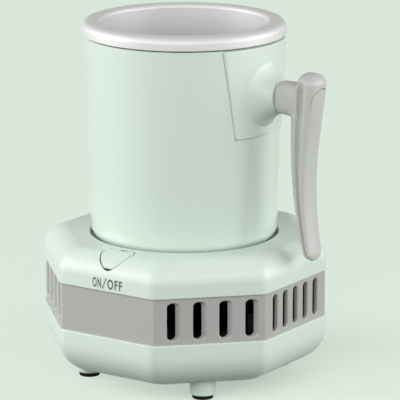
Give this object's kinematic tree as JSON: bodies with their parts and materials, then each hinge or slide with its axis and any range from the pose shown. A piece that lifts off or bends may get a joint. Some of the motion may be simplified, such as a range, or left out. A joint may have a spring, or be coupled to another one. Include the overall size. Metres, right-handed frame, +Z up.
{
  "type": "instant drink cooler",
  "caption": "Tabletop drink cooler: an insulated mug with a side handle lifts off a cold plate in an octagonal vented base with a push button.",
  "frame": {"origin": "on the standing surface, under the mug's axis", "axes": "+Z up along the mug's axis; -Y is the front with the button; +X is the side of the handle"},
  "size_m": [0.1431, 0.13, 0.1745],
  "materials": {
    "mint_plastic": "smooth glossy moulding",
    "grey_plastic": "satin moulding",
    "black_plastic": "satin moulding",
    "cup_aluminium": "satin anodised",
    "plate_aluminium": "plain turned",
    "sink_black": "black anodised",
    "foam": "soft closed-cell foam",
    "seal_rubber": "matt silicone",
    "foot_rubber": "matt",
    "screw_steel": "zinc plated",
    "bearing_brass": "sintered",
    "stator_copper": "enamelled winding",
    "module_ceramic": "white ceramic",
    "board_green": "solder mask",
    "lens_clear": "frosted light pipe"
  },
  "bodies": {
    "base": {"top_cover": "mint_plastic", "vent_band": "grey_plastic", "base_tray": "mint_plastic", "foot_pad_1": "foot_rubber", "foot_pad_2": "foot_rubber", "foot_pad_3": "foot_rubber", "foot_pad_4": "foot_rubber", "cold_plate": "plate_aluminium", "plate_gasket": "seal_rubber", "module_frame": "black_plastic", "peltier_module": "module_ceramic", "heat_sink": "sink_black", "clamp_screws": "screw_steel", "fan_frame": "black_plastic", "fan_stator": "stator_copper", "fan_bearing": "bearing_brass", "fan_screws": "screw_steel", "control_board": "board_green", "board_screws": "screw_steel", "switch_body": "black_plastic", "indicator_led": "lens_clear", "dc_jack": "black_plastic", "jack_nut": "screw_steel", "tray_screws": "screw_steel"},
    "mug": {"inner_cup": "cup_aluminium", "rim_gasket": "seal_rubber", "outer_shell": "mint_plastic", "insulation_sleeve": "foam", "thermal_foot": "plate_aluminium", "thermal_foot_screws": "screw_steel", "foot_seal": "seal_rubber", "handle_bracket": "mint_plastic", "bracket_screws": "screw_steel", "handle": "grey_plastic", "handle_screw": "screw_steel", "handle_cap": "grey_plastic"},
    "button": {"button_cap": "mint_plastic", "indicator_lens": "lens_clear", "switch_plunger": "black_plastic"},
    "fan": {"fan_rotor": "black_plastic"}
  },
  "joints": [
    {"name": "mug_lift", "type": "slide", "parent": "base", "child": "mug", "axis": [0, 0, 1], "range_m": [0, 0.06]},
    {"name": "button_press", "type": "slide", "parent": "base", "child": "button", "axis": [0, 0, -1], "range_m": [0, 0.001], "stiffness_N_per_m": 1500},
    {"name": "fan_spin", "type": "hinge", "parent": "base", "child": "fan", "pos_m": [0, 0, 0.023], "axis": [0, 0, 1], "continuous": true}
  ]
}
